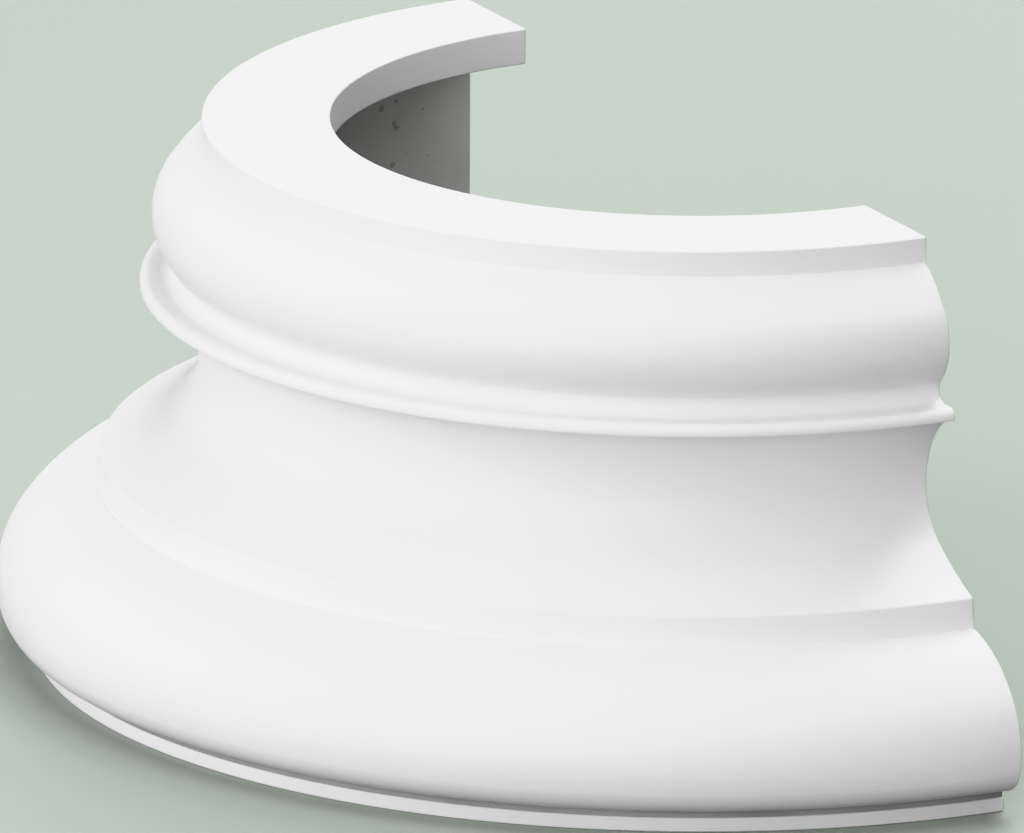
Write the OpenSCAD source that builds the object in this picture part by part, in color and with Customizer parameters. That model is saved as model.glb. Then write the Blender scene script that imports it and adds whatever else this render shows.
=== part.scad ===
// Half-round moulded column base: a top fillet, an upper torus, a thin lip, a
// scotia, a tapered fillet, a lower torus, a groove and a base fillet, with a collar
// round the shaft and a hollow back. The flat back lies on Y = 0, the round front
// faces -Y, and the origin is on the column axis at floor level.

/* [Top] */
// Radius of the top face, where the column shaft stands
top_r = 170; // [167:1:180]
// Height of the plain fillet above the upper torus
top_fillet_h = 9; // [7:0.5:11]

/* [Upper torus] */
// Radius of its shallow crown
upper_crown_r = 67; // [60:1:75]
// Radius of its nose
upper_nose_r = 20; // [18:0.5:22]

/* [Lip] */
// Radius of the small cove under the upper torus
cove_r = 4.2; // [3:0.1:5]
// Width of the flat ledge in front of the cove
ledge_w = 3.9; // [1:0.1:5]
// Radius of the lip's rounded upper edge
lip_nose_r = 3.2; // [2:0.2:4]
// Height of the lip's upright edge below the rounding
lip_h = 1.2; // [0.8:0.1:3]
// Width of the lip's flat underside
undercut_w = 3.5; // [1:0.1:5]

/* [Scotia] */
// Radius of its upper hollow, from the lip to the waist
scotia_upper_r = 29.9; // [28.5:0.1:31.5]
// Radius of the turn below the waist
scotia_turn_r = 23; // [21:0.5:25]
// Radius of its long, nearly straight foot
scotia_foot_r = 122; // [105:1:130]

/* [Lower torus] */
// Height of the tapered fillet above the lower torus
lower_fillet_h = 10.5; // [9:0.1:14]
// How far that fillet spreads from its top to its foot
lower_fillet_taper = 1; // [0:0.2:4]
// Radius of the lower torus's crown
lower_crown_r = 47; // [45:0.5:50]
// Radius of the lower torus's nose
lower_nose_r = 29.7; // [28:0.1:31]
// Radius of the tight turn under the nose
lower_turn_r = 11; // [9:0.1:12]

/* [Foot] */
// Height of the groove under the lower torus
groove_h = 3.2; // [2:0.1:4]
// Depth of the groove behind the edge of the torus
groove_d = 4.2; // [3:0.1:6]
// Height of the plain fillet that stands on the floor
base_fillet_h = 5.2; // [4:0.1:8]
// Width of the ledge on that fillet, in front of the groove
base_ledge_w = 1; // [0.5:0.1:2]

/* [Hollow back] */
// Radius of the opening in the collar
collar_r = 125.6; // [110:0.2:130]
// Thickness of the collar
collar_t = 13; // [11:0.5:16]
// Radius of the hollow behind the upper torus
upper_hollow_r = 167.4; // [155:0.2:167.6]
// Radius of the hollow behind the scotia
waist_hollow_r = 156; // [148:1:158]
// Radius of the hollow behind the lower torus
lower_hollow_r = 202; // [170:1:206]

/* [Hidden] */

// Each arc of the outline is cut into this many straight steps
arc_steps = 12;
// A full circle round the column would have this many steps
round_steps = 180;
// How far the hollow's upper width reaches below the lip, down to its upper slope
lip_backing_h = 10;
// Height of the hollow's lower slope
lower_slope_h = 32;

// How far the outward normal points above the horizontal, in degrees, at the
// start, each change of radius and the end of each moulding's run of arcs
upper_torus_turns = [53, 37, -45];
scotia_turns = [-64, 0, 55, 68];
lower_torus_turns = [79, 35.5, -12, -80];

// The point that an arc reaches from point p as its normal turns from a0 to a1.
// A positive radius bulges outwards and a negative one is hollow.
function arc_end(p, r, a0, a1) = p + r * [cos(a1) - cos(a0), sin(a1) - sin(a0)];

// The points of that arc after p
function arc(p, r, a0, a1) =
    [for (i = [1 : arc_steps]) arc_end(p, r, a0, a0 + (a1 - a0) * i / arc_steps)];

// The points of a run of arcs after p, of the radii rs, that follow on smoothly
function arcs(p, rs, turns, n = 0) = n == len(rs)
    ? []
    : concat(
        arc(p, rs[n], turns[n], turns[n + 1]),
        arcs(arc_end(p, rs[n], turns[n], turns[n + 1]), rs, turns, n + 1));

function last(list) = list[len(list) - 1];

// The mouldings from the top down. Heights count from the top face, as [radius, height].
top_edge = [top_r, 0];
top_fillet_foot = top_edge - [0, top_fillet_h];
upper_torus = arcs(top_fillet_foot, [upper_crown_r, upper_nose_r], upper_torus_turns);
cove = arc(last(upper_torus), -cove_r, last(upper_torus_turns), 90);
ledge_edge = last(cove) + [ledge_w, 0];
lip_nose = arc(ledge_edge, lip_nose_r, 90, 0);
lip_foot = last(lip_nose) - [0, lip_h];
undercut = lip_foot - [undercut_w, 0];
scotia = arcs(undercut, [-scotia_upper_r, -scotia_turn_r, -scotia_foot_r], scotia_turns);
lower_fillet_foot = last(scotia) + [lower_fillet_taper, -lower_fillet_h];
lower_torus = arcs(
    lower_fillet_foot,
    [lower_crown_r, lower_nose_r, lower_turn_r],
    lower_torus_turns);
groove_top = last(lower_torus) - [groove_d, 0];
groove_foot = groove_top - [0, groove_h];
base_edge = groove_foot + [base_ledge_w, 0];
base_foot = base_edge - [0, base_fillet_h];

// The hollow from the top down. Slopes join its three widths behind the mouldings.
upper_hollow_foot = lip_foot[1] - lip_backing_h;
waist_top = upper_hollow_foot - (upper_hollow_r - waist_hollow_r);
waist_foot = last(scotia)[1];
lower_hollow_top = waist_foot - lower_slope_h;

module section() {
    outside = concat(
        [top_edge, top_fillet_foot],
        upper_torus,
        cove,
        [ledge_edge],
        lip_nose,
        [lip_foot, undercut],
        scotia,
        [lower_fillet_foot],
        lower_torus,
        [groove_top, groove_foot, base_edge, base_foot]);
    hollow = [
        [collar_r, 0],
        [collar_r, -collar_t],
        [upper_hollow_r, -collar_t],
        [upper_hollow_r, upper_hollow_foot],
        [waist_hollow_r, waist_top],
        [waist_hollow_r, waist_foot],
        [lower_hollow_r, lower_hollow_top],
        [lower_hollow_r, base_foot[1]]];
    backwards = [for (i = [len(hollow) - 1 : -1 : 0]) hollow[i]];
    translate([0, -base_foot[1]])
        polygon(concat(outside, backwards));
}

module half_column_base() {
    color("white")
        rotate([0, 0, 180])
            rotate_extrude(angle = 180, $fn = round_steps)
                section();
}

half_column_base();
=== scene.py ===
# A half-round moulded column base in rigid foam with a white primer coat, seen on a
# pale studio floor. The script follows the piece as it is made: the foam moulding
# first, then its primed and bare surfaces, then the floor, the lights and the camera.
import math

import bmesh
import bpy
from mathutils import Matrix, Vector, noise


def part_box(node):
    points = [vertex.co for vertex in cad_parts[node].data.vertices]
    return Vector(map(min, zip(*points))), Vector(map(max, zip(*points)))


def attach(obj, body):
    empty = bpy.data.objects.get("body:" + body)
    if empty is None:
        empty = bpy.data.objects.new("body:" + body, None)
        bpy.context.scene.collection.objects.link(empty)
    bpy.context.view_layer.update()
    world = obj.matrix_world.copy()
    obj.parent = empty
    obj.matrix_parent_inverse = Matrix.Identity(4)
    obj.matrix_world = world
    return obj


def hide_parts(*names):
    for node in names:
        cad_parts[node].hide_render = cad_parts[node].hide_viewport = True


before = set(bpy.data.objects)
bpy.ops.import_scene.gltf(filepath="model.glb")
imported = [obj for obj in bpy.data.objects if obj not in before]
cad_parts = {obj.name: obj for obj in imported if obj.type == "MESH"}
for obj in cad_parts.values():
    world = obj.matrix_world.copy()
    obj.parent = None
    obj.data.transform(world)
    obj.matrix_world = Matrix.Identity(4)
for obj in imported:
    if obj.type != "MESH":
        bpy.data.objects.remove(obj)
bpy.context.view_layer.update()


# ---- The moulding ----
# The real piece is poured in one go as rigid foam in a smooth mould, so all its
# mouldings are half circles about one line. It carries the shaft on its collar, and
# it is hollow behind, where it closes round the post.

low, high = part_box("half_column_base")
HEIGHT = high.z - low.z
MM = 0.001

# The outline, from the top down. The turns say how far its outward normal points
# above the horizontal, in degrees, where each moulding's run of arcs starts, changes
# radius and ends.
TOP_R = 170 * MM
TOP_FILLET_H = 9 * MM
UPPER_CROWN_R = 67 * MM
UPPER_NOSE_R = 20 * MM
UPPER_TORUS_TURNS = (53, 37, -45)
COVE_R = 4.2 * MM
LEDGE_W = 3.9 * MM
LIP_NOSE_R = 3.2 * MM
LIP_H = 1.2 * MM
UNDERCUT_W = 3.5 * MM
SCOTIA_UPPER_R = 29.9 * MM
SCOTIA_TURN_R = 23 * MM
SCOTIA_FOOT_R = 122 * MM
SCOTIA_TURNS = (-64, 0, 55, 68)
LOWER_FILLET_H = 10.5 * MM
LOWER_FILLET_TAPER = 1 * MM
LOWER_CROWN_R = 47 * MM
LOWER_NOSE_R = 29.7 * MM
LOWER_TURN_R = 11 * MM
LOWER_TORUS_TURNS = (79, 35.5, -12, -80)
GROOVE_H = 3.2 * MM
GROOVE_D = 4.2 * MM
BASE_LEDGE_W = 1 * MM
BASE_FILLET_H = 5.2 * MM
BASE_R = 228.4 * MM

# The hollow: its three widths, and the slopes between them
COLLAR_R = 125.6 * MM
COLLAR_T = 13 * MM
UPPER_HOLLOW_R = 167.4 * MM
WAIST_HOLLOW_R = 156 * MM
LOWER_HOLLOW_R = 202 * MM
LIP_BACKING_H = 10 * MM
LOWER_SLOPE_H = 32 * MM

# How finely the mesh follows the curves
ARC_STEP = math.radians(4)
FEWEST_ARC_STEPS = 4
FLAT_STEP = 4 * MM
ROUND_STEPS = 192

# Edges that turn by more than this are sharp, and the outer ones are rounded over
SHARP_ANGLE = math.radians(20)
ARRIS = 0.7 * MM
ARRIS_STEPS = 3

# Points that are closer than this count as level, or as one
FLUSH = 0.01 * MM

# A face looks down, or in towards the post, if that part of its normal is below these
FACES_DOWN = -0.9
FACES_IN = -0.1

# The skin sinks by between a fifth and the whole of these depths
FACE_SINK = 0.14 * MM
HOLLOW_SINK = 0.45 * MM
MIDDLE_SINK = 0.6
SINK_SWING = 0.4
SINK_PATCH = 45 * MM

# The three finishes and the groove's painted shade, in the order of the mesh's materials
PRIMED, SKIN, SAWN, GROOVE = 0, 1, 2, 3

# Each finish clouds between a paler and a duller colour, and burst cells are painted darker, as
# painted shade in their pits
PRIMER_PALE = (0.832, 0.832, 0.830, 1)
PRIMER_GREY = (0.808, 0.808, 0.808, 1)
SKIN_PALE = (0.760, 0.757, 0.747, 1)
SKIN_DULL = (0.690, 0.686, 0.675, 1)
SAWN_PALE = (0.760, 0.755, 0.740, 1)
SAWN_DULL = (0.690, 0.684, 0.668, 1)
PIT_PAINTED_SHADE = (0.580, 0.573, 0.558, 1)
# The groove's back wall is painted dark grey, as painted shade for the shadow under the lower
# torus
GROOVE_SHADE_PALE = (0.380, 0.378, 0.372, 1)
GROOVE_SHADE_DULL = (0.290, 0.288, 0.282, 1)


def straight(bm, start, dr, dz):
    """Draws a straight run of the outline in short steps, and gives its last vertex."""
    steps = max(1, round(math.hypot(dr, dz) / FLAT_STEP))
    for _ in range(steps):
        start = bmesh.ops.extrude_vert_indiv(bm, verts=[start])["verts"][0]
        start.co += Vector((dr, 0, dz)) / steps
    return start


def level(bm, start, r):
    """Draws a level run of the outline to this radius."""
    return straight(bm, start, r - start.co.x, 0)


def arc(bm, start, radius, turn_from, turn_to):
    """Draws an arc as its outward normal turns between two angles, in degrees.
    A bulge has a positive radius and a hollow has a negative one."""
    a = math.radians(turn_from)
    b = math.radians(turn_to)
    centre = start.co - radius * Vector((math.cos(a), 0, math.sin(a)))
    steps = max(FEWEST_ARC_STEPS, round(abs(b - a) / ARC_STEP))
    turned = bmesh.ops.spin(bm, geom=[start], cent=centre, axis=(0, -1, 0),
                            angle=b - a, steps=steps)
    return [g for g in turned["geom_last"] if isinstance(g, bmesh.types.BMVert)][0]


def arcs(bm, start, radii, turns):
    """Draws a run of arcs that follow on smoothly."""
    for radius, turn_from, turn_to in zip(radii, turns, turns[1:]):
        start = arc(bm, start, radius, turn_from, turn_to)
    return start


def draw_section(bm):
    """Draws the closed outline of the cut end, from the edge of the top face down."""
    first = bmesh.ops.create_vert(bm, co=(TOP_R, 0, HEIGHT))["vert"][0]
    v = straight(bm, first, 0, -TOP_FILLET_H)
    v = arcs(bm, v, (UPPER_CROWN_R, UPPER_NOSE_R), UPPER_TORUS_TURNS)
    v = arc(bm, v, -COVE_R, UPPER_TORUS_TURNS[-1], 90)
    v = straight(bm, v, LEDGE_W, 0)
    v = arc(bm, v, LIP_NOSE_R, 90, 0)
    v = straight(bm, v, 0, -LIP_H)
    lip_foot = v.co.z
    v = straight(bm, v, -UNDERCUT_W, 0)
    v = arcs(bm, v, (-SCOTIA_UPPER_R, -SCOTIA_TURN_R, -SCOTIA_FOOT_R), SCOTIA_TURNS)
    waist_foot = v.co.z
    v = straight(bm, v, LOWER_FILLET_TAPER, -LOWER_FILLET_H)
    v = arcs(bm, v, (LOWER_CROWN_R, LOWER_NOSE_R, LOWER_TURN_R), LOWER_TORUS_TURNS)
    v = straight(bm, v, -GROOVE_D, 0)
    v = straight(bm, v, 0, -GROOVE_H)
    v = straight(bm, v, BASE_LEDGE_W, 0)
    v = straight(bm, v, 0, -v.co.z)
    v = level(bm, v, LOWER_HOLLOW_R)
    v = straight(bm, v, 0, waist_foot - LOWER_SLOPE_H)
    v = straight(bm, v, WAIST_HOLLOW_R - LOWER_HOLLOW_R, LOWER_SLOPE_H)
    step = UPPER_HOLLOW_R - WAIST_HOLLOW_R
    waist_top = lip_foot - LIP_BACKING_H - step
    v = straight(bm, v, 0, waist_top - v.co.z)
    v = straight(bm, v, step, step)
    v = straight(bm, v, 0, HEIGHT - COLLAR_T - v.co.z)
    v = level(bm, v, COLLAR_R)
    v = straight(bm, v, 0, COLLAR_T)
    v = level(bm, v, TOP_R)
    bmesh.ops.remove_doubles(bm, verts=bm.verts, dist=FLUSH)
    bmesh.ops.contextual_create(bm, geom=bm.edges)


def sharp(edge):
    """Tells an arris or an inner corner from the steps of a smooth curve."""
    return edge.is_manifold and edge.calc_face_angle() > SHARP_ANGLE


def soften(bm, width):
    """Rounds the outer arrises over, as the mould and the primer leave them, and keeps
    the inner corners crisp."""
    corners = [e for e in bm.edges if sharp(e)]
    for edge in corners:
        edge.smooth = edge.is_convex
    edges = [e for e in corners if e.is_convex]
    bmesh.ops.bevel(bm, geom=edges, offset=width, offset_type="OFFSET", segments=ARRIS_STEPS,
                    profile=0.5, affect="EDGES", clamp_overlap=False, material=-1)


def surface(face):
    """Tells the primed mouldings from the back wall of the groove under them, which is painted
    dark as painted shade, and from the bare hollow and the sawn cuts."""
    middle = face.calc_center_median()
    outward = Vector((middle.x, middle.y, 0))
    if middle.y > -FLUSH or middle.z < FLUSH:
        return SAWN
    if middle.z > HEIGHT - COLLAR_T + FLUSH:
        return PRIMED
    under_collar = face.normal.z < FACES_DOWN and middle.z > HEIGHT - COLLAR_T - FLUSH
    if under_collar or face.normal.dot(outward.normalized()) < FACES_IN:
        return SKIN
    # The groove's back wall, behind the base's ledge, gets the painted shade
    above_ledge = BASE_FILLET_H - FLUSH < middle.z < BASE_FILLET_H + GROOVE_H
    behind_ledge = LOWER_HOLLOW_R < outward.length < BASE_R
    return GROOVE if above_ledge and behind_ledge else PRIMED


def sink(bm):
    """Lets the skin sink in soft, shallow patches, as a poured moulding does when it
    cools. The planes that meet the floor, the shaft and the wall stay true."""
    bm.normal_update()
    for v in bm.verts:
        bare = all(face.material_index == SKIN for face in v.link_faces)
        depth = HOLLOW_SINK if bare else FACE_SINK
        patch = MIDDLE_SINK + SINK_SWING * noise.noise(v.co / SINK_PATCH)
        move = v.normal * depth * -patch
        if v.co.y > -FLUSH:
            move.y = 0
        if v.co.z < FLUSH or v.co.z > HEIGHT - FLUSH:
            move.z = 0
        v.co += move


bm = bmesh.new()
draw_section(bm)
bmesh.ops.spin(bm, geom=bm.verts[:] + bm.edges[:] + bm.faces[:], cent=(0, 0, 0),
               axis=(0, 0, 1), angle=-math.pi, steps=ROUND_STEPS)
bmesh.ops.remove_doubles(bm, verts=bm.verts, dist=FLUSH)
bmesh.ops.recalc_face_normals(bm, faces=bm.faces)
soften(bm, ARRIS)
bm.normal_update()
for face in bm.faces:
    face.material_index = surface(face)
    face.smooth = True
sink(bm)

base_mesh = bpy.data.meshes.new("moulded_half_base")
bm.to_mesh(base_mesh)
bm.free()
base = bpy.data.objects.new("moulded_half_base", base_mesh)
bpy.context.collection.objects.link(base)
even = base.modifiers.new("even_normals", "WEIGHTED_NORMAL")
even.keep_sharp = True


def put(tree, kind, inputs, **settings):
    """Adds a node. Each input is given a plain value, or a socket to be joined to."""
    made = tree.nodes.new("ShaderNode" + kind)
    for name, value in settings.items():
        setattr(made, name, value)
    for name, value in inputs.items():
        if isinstance(value, bpy.types.NodeSocket):
            tree.links.new(value, made.inputs[name])
        else:
            made.inputs[name].default_value = value
    return made


def new_group(name, inputs, outputs):
    """Starts a node group, and gives its tree, its inputs and its output node."""
    tree = bpy.data.node_groups.new(name, "ShaderNodeTree")
    for label, kind in inputs.items():
        tree.interface.new_socket(label, in_out="INPUT", socket_type="NodeSocket" + kind)
    for label, kind in outputs.items():
        tree.interface.new_socket(label, in_out="OUTPUT", socket_type="NodeSocket" + kind)
    given = tree.nodes.new("NodeGroupInput").outputs
    return tree, given, tree.nodes.new("NodeGroupOutput")


def use(tree, group, inputs):
    """Puts a node group to work in a material, and gives its outputs."""
    return put(tree, "Group", inputs, node_tree=group).outputs


def times(tree, value, factor):
    """Multiplies two numbers, each a plain number or a socket."""
    return put(tree, "Math", {0: value, 1: factor}, operation="MULTIPLY").outputs[0]


def blend(tree, factor, first, second):
    """Mixes two colours, each a plain colour or a socket. The Mix node's sockets go by
    number, because its numbers, vectors and colours share their names."""
    return put(tree, "Mix", {0: factor, 6: first, 7: second}, data_type="RGBA").outputs[2]


# Soft cloudiness a few centimetres across, from the thickness of the coat or skin, and a
# varying tone in the groove's painted shade
cloud, given, out = new_group(
    "cloudiness",
    {"Coordinates": "Vector", "Patches per metre": "Float"},
    {"Tone": "Float"})
patches = put(cloud, "TexNoise", {
    "Vector": given["Coordinates"], "Scale": given["Patches per metre"],
    "Detail": 4.0, "Roughness": 0.55})
tone = put(cloud, "MapRange", {"Value": patches.outputs[0], "From Min": 0.3, "From Max": 0.7})
cloud.links.new(tone.outputs[0], out.inputs["Tone"])

# The fine grain of a sprayed or moulded skin, in two sizes
PEEL_PER_METRE = 330.0
GRIT_PER_METRE = 1500.0
GRIT_SHARE = 0.35

grain, given, out = new_group(
    "skin_grain",
    {"Coordinates": "Vector", "Depth": "Float"},
    {"Grain": "Float", "Normal": "Vector"})
peel = put(grain, "TexNoise", {
    "Vector": given["Coordinates"], "Scale": PEEL_PER_METRE, "Detail": 2.0})
grit = put(grain, "TexNoise", {
    "Vector": given["Coordinates"], "Scale": GRIT_PER_METRE, "Detail": 2.0})
both = put(grain, "Mix", {0: GRIT_SHARE, 2: peel.outputs[0], 3: grit.outputs[0]})
raised = put(grain, "Bump", {
    "Height": both.outputs[0], "Distance": given["Depth"], "Strength": 1.0})
grain.links.new(both.outputs[0], out.inputs["Grain"])
grain.links.new(raised.outputs[0], out.inputs["Normal"])

# Burst cells of the foam: round pits of mixed sizes, with plain skin between them. A
# pit's floor is flat over this share of its width.
PIT_FLOOR = 0.6

cells, given, out = new_group(
    "burst_cells",
    {"Coordinates": "Vector", "Cells per metre": "Float", "Size": "Float", "Depth": "Float",
     "Normal": "Vector"},
    {"Pits": "Float", "Normal": "Vector"})
spots = put(cells, "TexVoronoi", {
    "Vector": given["Coordinates"], "Scale": given["Cells per metre"]})
chance = put(cells, "SeparateColor", {0: spots.outputs["Color"]})
reach = times(cells, chance.outputs[0], given["Size"])
inner = times(cells, reach, PIT_FLOOR)
pits = put(cells, "MapRange", {
    "Value": spots.outputs["Distance"], "From Min": inner, "From Max": reach,
    "To Min": 1.0, "To Max": 0.0})
sunk = put(cells, "Bump", {
    "Height": pits.outputs[0], "Distance": given["Depth"], "Normal": given["Normal"],
    "Strength": 1.0}, invert=True)
cells.links.new(pits.outputs[0], out.inputs["Pits"])
cells.links.new(sunk.outputs[0], out.inputs["Normal"])


def new_material(name, roughness):
    """Starts a material, and gives it with its tree, its shader and its coordinates."""
    material = bpy.data.materials.new(name)
    material.use_nodes = True
    tree = material.node_tree
    shader = tree.nodes["Principled BSDF"]
    shader.inputs["Roughness"].default_value = roughness
    where = put(tree, "TexCoord", {}).outputs["Object"]
    return material, tree, shader, where


# White primer, sprayed on thinly: matte, with a faint orange peel, smoother on its tops
primer, tree, shader, where = new_material("white_primer", 0.6)
coat_and_shade_cloud = use(tree, cloud, {"Coordinates": where, "Patches per metre": 14.0})
peel = use(tree, grain, {"Coordinates": where, "Depth": 0.05 * MM})
tree.links.new(blend(tree, coat_and_shade_cloud["Tone"], PRIMER_GREY, PRIMER_PALE), shader.inputs["Base Color"])
sheen = put(tree, "MapRange", {"Value": peel["Grain"], "To Min": 0.66, "To Max": 0.52})
tree.links.new(sheen.outputs[0], shader.inputs["Roughness"])
tree.links.new(peel["Normal"], shader.inputs["Normal"])

# Bare foam skin in the hollow: duller, with small blow holes
skin, tree, shader, where = new_material("bare_foam_skin", 0.75)
flow = use(tree, cloud, {"Coordinates": where, "Patches per metre": 22.0})
rough = use(tree, grain, {"Coordinates": where, "Depth": 0.16 * MM})
holes = use(tree, cells, {
    "Coordinates": where, "Cells per metre": 190.0, "Size": 0.26, "Depth": 0.5 * MM,
    "Normal": rough["Normal"]})
pale = blend(tree, flow["Tone"], SKIN_DULL, SKIN_PALE)
# The blow holes are painted darker, as painted shade in their pits
tree.links.new(blend(tree, holes["Pits"], pale, PIT_PAINTED_SHADE), shader.inputs["Base Color"])
tree.links.new(holes["Normal"], shader.inputs["Normal"])

# Sawn foam on the two cut ends and the foot: open cells, crossed by faint saw marks. A cell's
# pit is painted towards the painted shade by up to this share.
SAWN_CELL_SHARE = 0.6

sawn, tree, shader, where = new_material("sawn_foam", 0.85)
dense = use(tree, cloud, {"Coordinates": where, "Patches per metre": 35.0})
saw = put(tree, "TexWave", {
    "Vector": where, "Scale": 60.0, "Distortion": 1.5, "Detail": 2.0,
    "Detail Scale": 0.4}, wave_type="BANDS", bands_direction="X")
scored = put(tree, "Bump", {"Height": saw.outputs[1], "Distance": 0.12 * MM, "Strength": 1.0})
open_cells = use(tree, cells, {
    "Coordinates": where, "Cells per metre": 900.0, "Size": 0.75, "Depth": 0.25 * MM,
    "Normal": scored.outputs[0]})
pale = blend(tree, dense["Tone"], SAWN_DULL, SAWN_PALE)
shaded = times(tree, open_cells["Pits"], SAWN_CELL_SHARE)
tree.links.new(blend(tree, shaded, pale, PIT_PAINTED_SHADE), shader.inputs["Base Color"])
tree.links.new(open_cells["Normal"], shader.inputs["Normal"])

# The groove under the lower torus: its back wall is painted dark grey, as painted shade for the
# shadow there
groove_shade, tree, shader, where = new_material("groove_painted_shade", 0.75)
coat_and_shade_cloud = use(tree, cloud, {"Coordinates": where, "Patches per metre": 30.0})
peel = use(tree, grain, {"Coordinates": where, "Depth": 0.12 * MM})
tree.links.new(blend(tree, coat_and_shade_cloud["Tone"], GROOVE_SHADE_DULL, GROOVE_SHADE_PALE), shader.inputs["Base Color"])
tree.links.new(peel["Normal"], shader.inputs["Normal"])

for material in (primer, skin, sawn, groove_shade):
    base_mesh.materials.append(material)

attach(base, "root")
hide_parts("half_column_base")


# ---- The floor ----
# A wide sheet of pale grey-green card with nothing on it but the base. It throws back
# only a little plain grey light, so that the white above it isn't tinted.

CARD_REACH = 12
CARD_SEEN = (0.42, 0.48, 0.42, 1)
CARD_BOUNCE = (0.14, 0.14, 0.14, 1)

floor_bm = bmesh.new()
bmesh.ops.create_grid(floor_bm, x_segments=1, y_segments=1, size=CARD_REACH)
floor_mesh = bpy.data.meshes.new("studio_floor")
floor_bm.to_mesh(floor_mesh)
floor_bm.free()
floor = bpy.data.objects.new("studio_floor", floor_mesh)
bpy.context.collection.objects.link(floor)

card, tree, shader, _ = new_material("pale_card", 0.9)
ray = put(tree, "LightPath", {})
tree.links.new(blend(tree, ray.outputs["Is Camera Ray"], CARD_BOUNCE, CARD_SEEN),
               shader.inputs["Base Color"])
floor_mesh.materials.append(card)


# ---- Studio light ----
# Broad soft boxes all round: two low ones in front, a high one behind on the left and
# one overhead do most of the work, and the others fill. The room itself gives no light.

BOX_SIZE = 2.0
BOX_DISTANCE = 3.0
ROOM_SEEN = (0.56, 0.62, 0.56, 1)

world = bpy.data.worlds.new("studio")
bpy.context.scene.world = world
world.use_nodes = True
tree = world.node_tree
ray = put(tree, "LightPath", {})
room = tree.nodes["Background"]
room.inputs["Color"].default_value = ROOM_SEEN
tree.links.new(ray.outputs["Is Camera Ray"], room.inputs["Strength"])


def soft_light(name, azimuth, elevation, power):
    """A square soft box that faces the base from this direction, in degrees."""
    a = math.radians(azimuth)
    e = math.radians(elevation)
    data = bpy.data.lights.new(name, "AREA")
    data.size = BOX_SIZE
    data.energy = power
    lamp = bpy.data.objects.new(name, data)
    towards = Vector((math.sin(a) * math.cos(e), -math.cos(a) * math.cos(e), math.sin(e)))
    aim = Vector((0, (low.y + high.y) / 2, HEIGHT / 2))
    lamp.location = aim + towards * BOX_DISTANCE
    lamp.rotation_euler = (-towards).to_track_quat("-Z", "Y").to_euler()
    lamp.visible_camera = False
    bpy.context.collection.objects.link(lamp)


soft_light("left_low", -75, 8, 15.4)
soft_light("front_left_low", -30, 8, 72.6)
soft_light("front_low", 10, 8, 10.7)
soft_light("front_right_low", 50, 8, 70.9)
soft_light("front_right_high", 50, 52, 3.6)
soft_light("right_high", 85, 52, 11.3)
soft_light("back_right_high", 130, 52, 14.6)
soft_light("back_left_high", 215, 52, 79.5)
soft_light("overhead", 10, 80, 30.6)


# ---- Camera ----
# A long lens, well back, three quarters on to the +X end and a little above the base.
# Angles are in degrees, distances in metres, and the lens and sensor in millimetres.

CAMERA_AZIMUTH = 62.16
CAMERA_ELEVATION = 16.71
CAMERA_DISTANCE = 10.40
PAN = -0.360
TILT = 0.424
ROLL = 0.181
LENS = 1054.7
SENSOR = 36
FARTHEST_SEEN = 100

cam_data = bpy.data.cameras.new("camera")
cam_data.lens = LENS
cam_data.sensor_width = SENSOR
cam_data.clip_end = FARTHEST_SEEN
camera = bpy.data.objects.new("camera", cam_data)
bpy.context.collection.objects.link(camera)
to_camera = Matrix.Rotation(math.radians(CAMERA_AZIMUTH), 4, "Z")
look_down = Matrix.Rotation(math.radians(90 - CAMERA_ELEVATION + TILT), 4, "X")
turn = Matrix.Rotation(math.radians(-PAN), 4, "Z")
lean = Matrix.Rotation(math.radians(ROLL), 4, "Z")
elevation = math.radians(CAMERA_ELEVATION)
away = Vector((0, -math.cos(elevation), math.sin(elevation))) * CAMERA_DISTANCE
camera.matrix_world = to_camera @ Matrix.Translation(away) @ turn @ look_down @ lean
bpy.context.scene.camera = camera
bpy.context.scene.view_settings.view_transform = "Khronos PBR Neutral"
